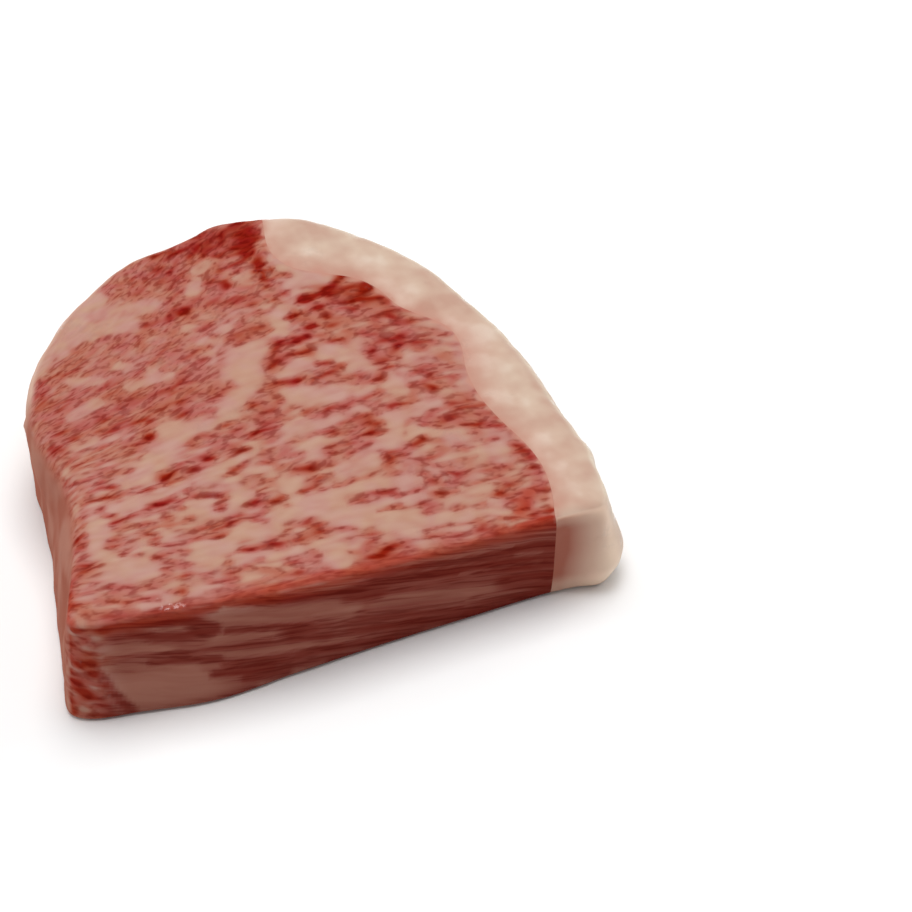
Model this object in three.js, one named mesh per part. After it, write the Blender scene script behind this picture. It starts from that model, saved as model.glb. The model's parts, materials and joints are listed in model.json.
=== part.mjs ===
// A raw, heavily marbled striploin steak: the half left when a slice is cut across its middle.
// It is a slab of marbled lean with a cap of back fat along its right side, both run from face to face.
// Millimetres, +Z up, lying on its flat underside, the knife cut along -Y and the fat cap along +X.
import * as THREE from "three";
import { mergeVertices } from "three/addons/utils/BufferGeometryUtils.js";

// Driving sizes.
const cutWidth = 105; // along the knife cut, from the chine side to the outside of the fat
const cutDepth = 102; // from the knife cut to the crown of the steak
const chineThickness = 23.8; // of the slice at its left edge
const fatThickness = 19.7; // of the slice at its fat edge
const tissueGap = 0.3; // between the lean and the fat cap
const bellyReach = 2.8; // of the fat's outer wall, where it is fullest
const bellyHeight = 0.3; // of that place, as a share of the thickness
const footRadius = 1; // rounding of the lower rim
const cutRimRadius = 1.2; // rounding of the upper rim along the knife cut, which is crisp
const crownRimRadius = 3.2; // and round the back, which is soft

// Sub-divisions of the skin.
const cutSegments = 34; // along the knife cut, on the lean
const seamSegments = 42; // along the seam between lean and fat
const capSegments = 7; // across the fat cap
const wallLevels = 6; // up the straight part of the wall

const leanColour = 0xb4665a;
const fatColour = 0xdbc0ac;

// The upper outline, counterclockwise, one stretch after another. Each point is x in percent of
// cutWidth, y in percent of cutDepth, and how far the wall's foot stands out from there, in mm.
const outline = {
  cutFace: [
    [0.7, 0.6, 1.5], [4.5, -0.7, 1.6], [12, -1.1, 2.1], [19, -1.3, 3.2], [25, -1.5, 3.6],
    [31, -1.7, 3.1], [38, -2.5, 1.3], [48, -2.3, 0.6], [60, -1.5, 0.5], [74, -1, 0.2],
  ],
  cutFaceOfFat: [[89.5, -0.4, 0], [95, -0.3, 0.4]],
  fatSide: [
    [99.3, 0.3, 1.8], [101.1, 4.5, 2.6], [101.7, 10, 2.2], [102.3, 13.9, 1.5], [103.2, 16, 1],
    [102.6, 19.4, 1], [102.7, 28, 1], [102.5, 37.5, 1], [101.6, 48, 1], [100, 55.5, 1],
    [97.6, 63, 1], [96.2, 69, 1], [93.5, 76.5, 0.9], [90, 82.6, 0.8],
  ],
  crownOfFat: [[84.5, 88.8, 0.6], [78.9, 94.9, 0.4], [73.5, 98.9, 0.2]],
  crown: [
    [66.8, 100.5, 0], [61.5, 101.2, -0.2], [56.4, 100.9, -0.4], [51.6, 98.7, -0.5],
    [45.5, 96.5, -0.4], [39.5, 95.1, -0.4], [34, 92.3, -0.3], [27.1, 86.4, -0.2],
    [20.8, 80.8, 0],
  ],
  chineSide: [
    [17, 75.8, 0], [12.3, 69, 0], [9.2, 62.5, -0.3], [7.6, 56, -0.5], [6.9, 49, -0.9],
    [7.8, 42.2, 1], [8.9, 35.6, 3.3], [8.5, 28.4, 4.5], [6.9, 21.4, 4.3], [4.6, 14, 3.1],
    [2.2, 7, 1.9],
  ],
};

// The seam between lean and fat cap in plan, from the knife cut to the crown, in the same percents.
const seam = [
  [89.5, -0.4], [91.5, 6.5], [92.4, 13.5], [91.8, 20], [89.6, 28.5], [88.4, 36], [88.8, 43.5],
  [90.4, 50], [90, 56], [86.4, 61], [83, 65.4], [81.6, 70.6], [78.4, 75.6], [72.8, 79],
  [67.3, 82.8], [64.9, 89.5], [66.8, 100.5],
];

const outlinePoints = Object.values(outline).flat().map(
  ([x, y, flare]) => new THREE.Vector3((x / 100) * cutWidth, (y / 100) * cutDepth, flare),
);
const outlineCurve = new THREE.CatmullRomCurve3(outlinePoints, true, "centripetal");
const seamCurve = new THREE.CatmullRomCurve3(
  seam.map(([x, y]) => new THREE.Vector3((x / 100) * cutWidth, (y / 100) * cutDepth, 0)),
  false,
  "centripetal",
);

// Where each stretch starts, as a parameter of the outline's curve.
const stretchStart = {};
let pointsBefore = 0;
for (const [name, points] of Object.entries(outline)) {
  stretchStart[name] = pointsBefore / outlinePoints.length;
  pointsBefore += points.length;
}

// Height of the upper face: it tapers from the chine side to the fat and swells a little.
function upperHeight(x, y) {
  const taper = chineThickness + (fatThickness - chineThickness) * (x / cutWidth);
  const swell =
    0.35 * Math.sin(x / 13 + y / 31) * Math.cos(y / 17 - 0.6) +
    0.2 * Math.sin(x / 7.5 - y / 9 + 1.1);
  return taper + swell;
}

// How far the wall stands out at a share of its height: bundles of fibre along the knife cut,
// soft lumps round the rest.
function wallRelief(x, y, share) {
  const alongCut = THREE.MathUtils.clamp(1 - Math.abs(y) / 8, 0, 1);
  const onLean = THREE.MathUtils.smoothstep(x, 0, 9) - THREE.MathUtils.smoothstep(x, 80, 93);
  const bundles = 0.4 * onLean * Math.sin(share * 17 + 1.6 * Math.sin(x / 21) + x / 30);
  const lumps = 0.55 * Math.sin(x / 6.5 + y / 8) * Math.sin(share * 4 + y / 13 + x / 19);
  return Math.sin(Math.PI * share) * (alongCut * bundles + (1 - alongCut) * lumps);
}

// The fat's outer wall is fullest low down beside the knife cut, and trimmed back below that.
function wallBelly(x, y, share) {
  const nearCorner = Math.exp(-((x - cutWidth) ** 2) / 60 - y ** 2 / 500);
  const below = share / bellyHeight;
  const above = (1 - share) / (1 - bellyHeight);
  return bellyReach * nearCorner * Math.min(below, above, 0.85 + 0.15 * below * above);
}

function rimRadius(y) {
  return THREE.MathUtils.lerp(cutRimRadius, crownRimRadius, THREE.MathUtils.smoothstep(y, 3, 40));
}

// The levels of the skin, from the foot to the upper rim. Each is a function of the wall's height
// and its upper rounding, and gives the height and how far the outline is drawn in there.
const quarter = [0, Math.PI / 4, Math.PI / 2];
const levels = [
  ...quarter.map((turn) => () => ({
    z: footRadius * (1 - Math.cos(turn)),
    inset: footRadius * (1 - Math.sin(turn)),
  })),
  ...Array.from({ length: wallLevels }, (_, i) => (height, rim) => ({
    z: THREE.MathUtils.lerp(footRadius, height - rim, (i + 1) / (wallLevels + 1)),
    inset: 0,
  })),
  ...quarter.map((turn) => (height, rim) => ({
    z: height - rim * (1 - Math.sin(turn)),
    inset: rim * (1 - Math.cos(turn)),
  })),
];

// The outline's point at parameter t on one level.
function outlineAt(t, level) {
  const wrapped = THREE.MathUtils.euclideanModulo(t, 1);
  const { x, y, z: flare } = outlineCurve.getPoint(wrapped);
  const along = outlineCurve.getTangent(wrapped);
  const out = new THREE.Vector2(along.y, -along.x).normalize();
  const height = upperHeight(x, y);
  const { z, inset } = level(height, rimRadius(y));
  const share = z / height;
  const reach = flare * (1 - share) + wallRelief(x, y, share) + wallBelly(x, y, share) - inset;
  return new THREE.Vector3(x + out.x * reach, y + out.y * reach, z);
}

// Parameters evenly spaced by length between two places on the outline.
function evenSteps(from, to, count) {
  const end = to > from ? to : to + 1;
  const fine = 400;
  const lengths = [0];
  let last = outlineCurve.getPoint(from);
  for (let i = 1; i <= fine; i++) {
    const next = outlineCurve.getPoint(THREE.MathUtils.euclideanModulo(from + ((end - from) * i) / fine, 1));
    lengths.push(lengths[i - 1] + Math.hypot(next.x - last.x, next.y - last.y));
    last = next;
  }
  const steps = [];
  for (let k = 0, i = 0; k <= count; k++) {
    const wanted = (lengths[fine] * k) / count;
    while (i < fine - 1 && lengths[i + 1] < wanted) i++;
    const part = (wanted - lengths[i]) / (lengths[i + 1] - lengths[i]);
    steps.push(from + ((end - from) * (i + part)) / fine);
  }
  return steps;
}

// The seam on one level, from the knife cut to the crown. Its ends meet the outline there, and
// side is -1 for the lean's wall and +1 for the fat's, each half the gap away from the seam.
function seamAt(level, side) {
  const start = outlineAt(stretchStart.cutFaceOfFat, level);
  const end = outlineAt(stretchStart.crown, level);
  const points = seamCurve.getSpacedPoints(seamSegments);
  const toStart = start.clone().sub(points[0]);
  const toEnd = end.clone().sub(points[seamSegments]);
  return points.map((p, i) => {
    const v = i / seamSegments;
    const before = points[Math.max(0, i - 1)];
    const after = points[Math.min(seamSegments, i + 1)];
    const out = new THREE.Vector2(after.y - before.y, before.x - after.x).normalize();
    const nearStart = (1 - v) ** 6;
    const nearEnd = v ** 6;
    const x = p.x + toStart.x * nearStart + toEnd.x * nearEnd + (side * out.x * tissueGap) / 2;
    const y = p.y + toStart.y * nearStart + toEnd.y * nearEnd + (side * out.y * tissueGap) / 2;
    const { z } = level(upperHeight(x, y), rimRadius(y));
    return new THREE.Vector3(x, y, z);
  });
}

// A block's four sides on every level: cut (left to right), right, back (left to right) and left.
function leanSides(level) {
  const right = seamAt(level, -1);
  const onLevel = (t) => outlineAt(t, level);
  const cut = evenSteps(stretchStart.cutFace, stretchStart.cutFaceOfFat, cutSegments).map(onLevel);
  const back = evenSteps(stretchStart.crown, stretchStart.chineSide, cutSegments).map(onLevel).reverse();
  const left = evenSteps(stretchStart.chineSide, stretchStart.cutFace, seamSegments).map(onLevel).reverse();
  cut[cutSegments] = right[0];
  back[cutSegments] = right[seamSegments];
  return { cut, right, back, left };
}

function fatSides(level) {
  const left = seamAt(level, 1);
  const onLevel = (t) => outlineAt(t, level);
  const cut = evenSteps(stretchStart.cutFaceOfFat, stretchStart.fatSide, capSegments).map(onLevel);
  const right = evenSteps(stretchStart.fatSide, stretchStart.crownOfFat, seamSegments).map(onLevel);
  const back = evenSteps(stretchStart.crownOfFat, stretchStart.crown, capSegments).map(onLevel).reverse();
  cut[0] = left[0];
  back[0] = left[seamSegments];
  return { cut, right, back, left };
}

// The points of a face spanned between a block's four sides, row by row from the knife cut. Each
// is blended from the sides and set to the height that heightAt gives.
function spannedFace({ cut, right, back, left }, heightAt) {
  const across = cut.length - 1;
  const deep = right.length - 1;
  const rows = [];
  for (let j = 0; j <= deep; j++) {
    const v = j / deep;
    const row = [];
    for (let i = 0; i <= across; i++) {
      const u = i / across;
      const blend = (axis) =>
        (1 - v) * cut[i][axis] + v * back[i][axis] + (1 - u) * left[j][axis] + u * right[j][axis] -
        (1 - u) * (1 - v) * cut[0][axis] - u * (1 - v) * cut[across][axis] -
        (1 - u) * v * back[0][axis] - u * v * back[across][axis];
      const x = blend("x");
      const y = blend("y");
      row.push(new THREE.Vector3(x, y, heightAt(x, y)));
    }
    rows.push(row);
  }
  // The edge is the wall's own points, so that merging the vertices closes the skin.
  rows[0] = cut;
  rows[deep] = back;
  for (let j = 1; j < deep; j++) {
    rows[j][0] = left[j];
    rows[j][across] = right[j];
  }
  return rows;
}

// A closed solid with those sides: the wall, a flat underside and an upper face.
function block(sidesAt) {
  const points = [];
  const triangles = [];
  const addStrip = (rows, faceOut) => {
    const first = points.length;
    const width = rows[0].length;
    points.push(...rows.flat());
    for (let j = 0; j + 1 < rows.length; j++) {
      for (let i = 0; i + 1 < width; i++) {
        const a = first + j * width + i;
        const corners = [a, a + 1, a + width + 1, a, a + width + 1, a + width];
        triangles.push(...(faceOut ? corners : corners.reverse()));
      }
    }
  };
  const wall = levels.map((level) => {
    const { cut, right, back, left } = sidesAt(level);
    return [
      ...cut.slice(0, -1),
      ...right.slice(0, -1),
      ...back.slice(1).reverse(),
      ...left.slice().reverse(),
    ];
  });
  addStrip(wall, true);
  addStrip(spannedFace(sidesAt(levels[0]), () => 0), false);
  addStrip(spannedFace(sidesAt(levels.at(-1)), upperHeight), true);
  const geometry = new THREE.BufferGeometry().setFromPoints(points);
  geometry.setIndex(triangles);
  const closed = mergeVertices(geometry, 1e-4);
  closed.computeVertexNormals();
  return closed;
}

function piece(name, geometry, colour, roughness) {
  const mesh = new THREE.Mesh(
    geometry,
    new THREE.MeshStandardMaterial({ color: colour, roughness, metalness: 0 }),
  );
  mesh.name = name;
  return mesh;
}

const steak = new THREE.Group();
steak.add(piece("marbled_lean", block(leanSides), leanColour, 0.45));
steak.add(piece("fat_cap", block(fatSides), fatColour, 0.5));

// The origin is under the middle of the steak.
const centre = new THREE.Box3().setFromObject(steak).getCenter(new THREE.Vector3());
steak.position.set(-centre.x, -centre.y, 0);

export default steak;
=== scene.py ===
import json
import math

import bpy
import numpy as np
from mathutils import Matrix, Vector, noise
from mathutils.bvhtree import BVHTree

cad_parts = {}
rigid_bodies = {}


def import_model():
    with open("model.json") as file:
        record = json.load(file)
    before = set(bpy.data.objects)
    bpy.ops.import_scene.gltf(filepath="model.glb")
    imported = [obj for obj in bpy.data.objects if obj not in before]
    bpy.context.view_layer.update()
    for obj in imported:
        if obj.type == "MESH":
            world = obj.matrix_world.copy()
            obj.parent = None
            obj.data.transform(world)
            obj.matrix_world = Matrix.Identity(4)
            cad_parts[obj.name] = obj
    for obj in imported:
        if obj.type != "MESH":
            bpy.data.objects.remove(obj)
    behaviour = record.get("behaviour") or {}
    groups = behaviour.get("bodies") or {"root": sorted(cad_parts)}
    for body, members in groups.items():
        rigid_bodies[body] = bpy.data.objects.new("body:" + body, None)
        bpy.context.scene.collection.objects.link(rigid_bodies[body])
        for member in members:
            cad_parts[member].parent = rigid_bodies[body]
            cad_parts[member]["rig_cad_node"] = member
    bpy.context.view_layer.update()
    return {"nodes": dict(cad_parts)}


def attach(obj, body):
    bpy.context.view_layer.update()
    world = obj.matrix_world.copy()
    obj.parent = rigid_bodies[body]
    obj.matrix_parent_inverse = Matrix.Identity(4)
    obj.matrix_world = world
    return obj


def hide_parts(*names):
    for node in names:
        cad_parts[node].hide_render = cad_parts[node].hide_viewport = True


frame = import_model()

# Camera
# The photo was taken from above the front left corner with a long lens, and the steak is tipped
# a little in it. Here it lies flat, so the camera is rolled by those few degrees instead.
mm = 0.001
camera_azimuth = math.radians(-23.168)
camera_height = math.radians(44)
camera_roll = math.radians(2.793)
camera_distance = 541.87 * mm
camera_target = Vector((30.977, -19.394, 12)) * mm
lens_length = 110
film_width = 36
back = Vector((
    math.sin(camera_azimuth) * math.cos(camera_height),
    -math.cos(camera_azimuth) * math.cos(camera_height),
    math.sin(camera_height),
))
level_right = Vector((math.cos(camera_azimuth), math.sin(camera_azimuth), 0))
level_up = back.cross(level_right)
right = math.cos(camera_roll) * level_right + math.sin(camera_roll) * level_up
up = math.cos(camera_roll) * level_up - math.sin(camera_roll) * level_right
bpy.ops.object.select_all(action="DESELECT")
bpy.ops.object.camera_add(location=camera_target + camera_distance * back)
camera = bpy.context.object
camera.rotation_euler = Matrix((right, up, back)).transposed().to_euler()
camera.data.lens = lens_length
camera.data.sensor_width = film_width
camera.data.clip_start = 0.01
camera.data.clip_end = 20
bpy.context.scene.camera = camera

# Floor and light
# A plain white table, a large soft lamp overhead, and two soft lamps low behind the steak
# that light its left side and the outside of the fat. The knife cut gets the table's light only.
table_size = 6
table_gap = 0.1 * mm
sky_light = 0.26
bpy.ops.object.select_all(action="DESELECT")
bpy.ops.mesh.primitive_plane_add(size=table_size, location=(0, 0, -table_gap))
table_top = bpy.context.object
table_top.name = "table_top"
table_white = bpy.data.materials.new("table_white")
table_white.use_nodes = True
table_shader = table_white.node_tree.nodes["Principled BSDF"]
table_shader.inputs["Base Color"].default_value = (0.94, 0.94, 0.94, 1)
table_shader.inputs["Roughness"].default_value = 0.9
table_shader.inputs["Specular IOR Level"].default_value = 0.1
table_top.data.materials.append(table_white)

studio = bpy.data.worlds.new("studio")
studio.use_nodes = True
studio.node_tree.nodes["Background"].inputs["Color"].default_value = (1, 1, 1, 1)
studio.node_tree.nodes["Background"].inputs["Strength"].default_value = sky_light
bpy.context.scene.world = studio
bpy.context.scene.view_settings.view_transform = "Standard"

for lamp_name, place, size, watts in [
    ("overhead_lamp", (0.0, 0.2, 1.3), 0.9, 14.3),
    ("left_lamp", (-1.1, 0.4, 0.5), 0.7, 4.2),
    ("right_lamp", (1.1, 0.2, 0.5), 0.7, 4.2),
]:
    bpy.ops.object.select_all(action="DESELECT")
    bpy.ops.object.light_add(type="AREA", location=place)
    lamp = bpy.context.object
    lamp.name = lamp_name
    lamp.data.size = size
    lamp.data.energy = watts
    lamp.rotation_euler = Vector(place).to_track_quat("Z", "Y").to_euler()

# Marbled lean
# The muscle itself, one slab of fibres with fat grown in between them. It was sliced from the
# loin by knife, then cut across. Fibres run to the right and down, so the upper face shows
# them as short flecks and the knife cut as long streaks.

# Lean and fat are grown together where their solids are less than this apart.
seam_gap = 0.36 * mm
smoothing_steps = 2
sharpest_bend = math.radians(50)


def surface_of(node):
    """A solid's faces, to measure distances to."""
    solid = frame["nodes"][node].data
    return BVHTree.FromPolygons([v.co for v in solid.vertices], [f.vertices for f in solid.polygons])


def copied_solid(node, neighbour, reach):
    """A smoothed copy of a solid, in quads, grown across its share of the gap to its neighbour."""
    bpy.ops.object.select_all(action="DESELECT")
    solid = frame["nodes"][node]
    solid.select_set(True)
    bpy.context.view_layer.objects.active = solid
    bpy.ops.object.duplicate()
    piece = bpy.context.object
    del piece["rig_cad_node"]
    piece.data.materials.clear()
    bpy.ops.object.mode_set(mode="EDIT")
    bpy.ops.mesh.select_all(action="SELECT")
    bpy.ops.mesh.remove_doubles(threshold=0.01 * mm)
    bpy.ops.mesh.tris_convert_to_quads()
    bpy.ops.mesh.select_all(action="DESELECT")
    bpy.ops.object.mode_set(mode="OBJECT")
    # The seam's faces move to the neighbour, and their outline stays crisp.
    touching = set()
    for v in piece.data.vertices:
        nearest, _, _, gap = neighbour.find_nearest(v.co)
        if gap < seam_gap:
            v.co = v.co.lerp(nearest, reach)
            touching.add(v.index)
    for face in piece.data.polygons:
        face.select = all(i in touching for i in face.vertices)
    bpy.ops.object.mode_set(mode="EDIT")
    bpy.ops.mesh.select_mode(type="FACE")
    bpy.ops.mesh.region_to_loop()
    bpy.ops.transform.edge_crease(value=1)
    bpy.ops.object.mode_set(mode="OBJECT")
    bpy.ops.object.modifier_add(type="SUBSURF")
    piece.modifiers[-1].levels = smoothing_steps
    piece.modifiers[-1].render_levels = smoothing_steps
    bpy.ops.object.modifier_apply(modifier=piece.modifiers[-1].name)
    bpy.ops.object.shade_smooth()
    bpy.ops.object.mode_set(mode="EDIT")
    bpy.ops.mesh.select_mode(type="EDGE")
    bpy.ops.mesh.select_all(action="DESELECT")
    bpy.ops.mesh.edges_select_sharp(sharpness=sharpest_bend)
    bpy.ops.mesh.mark_sharp()
    bpy.ops.object.mode_set(mode="OBJECT")
    return piece


def corners_of(piece):
    """The place of each vertex, in metres, and the way that it faces."""
    places = np.empty(len(piece.data.vertices) * 3)
    piece.data.vertices.foreach_get("co", places)
    facing = np.empty(len(piece.data.vertices) * 3)
    piece.data.vertices.foreach_get("normal", facing)
    return places.reshape(-1, 3), facing.reshape(-1, 3)


def distance_to(surface, piece):
    """How far each vertex is from a surface, in mm."""
    return np.array([surface.find_nearest(v.co)[3] for v in piece.data.vertices]) / mm


def soft_noise(x, y, z, size=1):
    """Smooth noise at each place, with lumps of one size."""
    return np.array([noise.noise(Vector(place) / size) for place in zip(x, y, z)])


def raise_surface(piece, places, facing, height):
    """Moves each vertex outwards by its own height in mm."""
    piece.data.vertices.foreach_set("co", (places + facing * height[:, None] * mm).ravel())
    piece.data.update()


def ease(value, low, high):
    """0 below low, 1 above high, smooth between them."""
    share = np.clip((value - low) / (high - low), 0, 1)
    return share * share * (3 - 2 * share)


def paint(field, across, upward, marks, softness=0.45):
    """Brings a field towards each mark's level, along a path of its width."""
    least_blur = 0.25
    for level, width, path in marks:
        gap = np.full(len(field), np.inf)
        for (x0, y0), (x1, y1) in zip(path[:-1], path[1:]):
            length = (x1 - x0) ** 2 + (y1 - y0) ** 2
            part = ((across - x0) * (x1 - x0) + (upward - y0) * (y1 - y0)) / length
            part = np.clip(part, 0, 1)
            reach = np.hypot(across - x0 - part * (x1 - x0), upward - y0 - part * (y1 - y0))
            gap = np.minimum(gap, reach)
        core = width / 2 * (1 - softness)
        rim = width / 2 * (1 + softness) + least_blur
        cover = 1 - ease(gap, core, rim)
        field += (level - field) * cover


def keep(piece, name, values):
    """Stores a number or a vector for each vertex, for the material to read."""
    kind = "FLOAT" if values.ndim == 1 else "FLOAT_VECTOR"
    layer = piece.data.attributes.new(name, kind, "POINT")
    layer.data.foreach_set("value" if values.ndim == 1 else "vector", values.ravel())


# Where the marbling lies on the upper face, in mm. Each mark is a share of lean from 0, clean
# fat, to 1, bare muscle, with a width and a path.
broad_zones = [
    (0.64, 16, [(-38, 4), (-16, 5)]),
    (0.5, 16, [(-36, 19), (-14, 21)]),
    (0.58, 15, [(-14, 31), (2, 40)]),
    (0.52, 13, [(20, 22), (28, 6)]),
    (0.46, 10, [(33, -2), (34, -20)]),
    (0.46, 12, [(12, -27), (34, -32)]),
    (0.46, 9, [(-44, -44), (-14, -44)]),
    (0.66, 4, [(-54, -49.5), (38, -50.5)]),
]
veins = [
    (0.14, 5.5, [(-44, 16), (-38, 26), (-30, 32.5), (-26, 34.5)]),
    (0.02, 3, [(-31, 27.6), (-26, 33.6), (-24.5, 36)]),
    (0.16, 6.5, [(-35, 24), (-22, 27)]),
    (0.24, 4.6, [(-26, 30.6), (-15, 31.6)]),
    (0.15, 3, [(14, 29), (9, 21)]),
    (0.04, 5, [(13.8, 37.4), (14.2, 33), (16.6, 30.6), (21, 30.4)]),
    (0.1, 5, [(9, 20), (5, 15.5), (-2, 12)]),
    (0.05, 7, [(-1, 11), (-4, 7), (-4, 4)]),
    (0.08, 5.5, [(-5, 3), (-9, -1), (-14, -5), (-22, -6)]),
    (0.08, 6, [(-22, -6.5), (-26, -11.5), (-30, -16)]),
    (0.1, 4.5, [(-30, -16), (-34, -16.5)]),
    (0.1, 4, [(-25, -21), (-32, -22), (-38, -22.5)]),
    (0.08, 4, [(-37, -23), (-42, -25), (-43, -31)]),
    (0.05, 5.5, [(-43, -33), (-43, -38), (-36, -39.5)]),
    (0.12, 3.5, [(-36, -34), (-32, -32)]),
    (0.08, 3, [(-23, -29), (-18, -28)]),
    (0.1, 3.5, [(-9, -14), (-15, -17), (-20, -20)]),
    (0.1, 4, [(-8, -21), (-14, -22), (-14, -26)]),
    (0.08, 3.5, [(-14, -26), (-24, -26)]),
    (0.06, 4, [(-5, -25), (-4, -31), (-10, -34)]),
    (0.08, 5, [(-12, -34), (-19, -36.5), (-26, -37.5)]),
    (0.05, 7, [(-3, -32), (4, -37), (12, -42)]),
    (0.1, 3, [(-20, -41.5), (-10, -42)]),
    (0.1, 4.5, [(-4, -43), (-3, -47)]),
    (0.1, 2.5, [(10, -42), (24, -43)]),
    (0.2, 2.6, [(24, -38), (29, -41.4), (30, -43.6)]),
    (0.04, 4.5, [(3, -2), (9, -4), (14, -4)]),
    (0.08, 5, [(14, 8), (19, 5), (19, 2.5)]),
    (0.1, 3.5, [(4, 3.5), (14, 7)]),
    (0.1, 3, [(23, -2.5), (24, -7)]),
    (0.12, 2.5, [(16, -2), (14, -6), (22, -5)]),
    (0.1, 3, [(0, -11), (9, -11)]),
    (0.1, 3.5, [(2, -17), (6, -16), (8, -10.5)]),
    (0.08, 3.5, [(20, -14), (18, -19), (10, -23)]),
    (0.14, 2.5, [(22, -14), (29, -12)]),
    (0.1, 3, [(5, -25), (12, -24)]),
    (0.12, 2.5, [(22, -19), (27, -21), (30, -23)]),
    (0.1, 3, [(2, -30), (13, -31), (18, -31.5)]),
    (0.1, 3, [(32, -28), (37, -28)]),
    (0.12, 2.4, [(8, -36), (17, -36)]),
    (0.14, 2.2, [(23, -37), (30, -37)]),
    (0.25, 3, [(-31, -2.8), (-41, -4)]),
    (0.2, 2.4, [(-18, 9.5), (-26, 9)]),
    (0.2, 2.4, [(-20, 11), (-26, 15)]),
    (0.2, 2.2, [(-31, 12), (-36, 13)]),
    (0.2, 2.4, [(-33, 6.5), (-39, 4)]),
    (0.2, 2.4, [(-10, 22), (-3, 20)]),
    (0.2, 3, [(-8, 17), (-9, 12)]),
    (0.2, 2.5, [(-6, 33), (-4, 36)]),
    (0.2, 2.5, [(3, 34), (6, 35)]),
    (0.25, 2.5, [(1, 41), (-3, 39)]),
    (0.3, 5, [(36, 16), (38, 6), (38.5, -6)]),
    (0.25, 3, [(29, 1), (35, 2)]),
    (0.2, 3, [(-44, -17), (-49, -28)]),
    (0.3, 2, [(-52.4, -49.6), (-51.6, -48)]),
    (0.2, 1.8, [(-31, -42), (-24, -41)]),
    (0.2, 1.8, [(-40, -48), (-30, -47)]),
]
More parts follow.
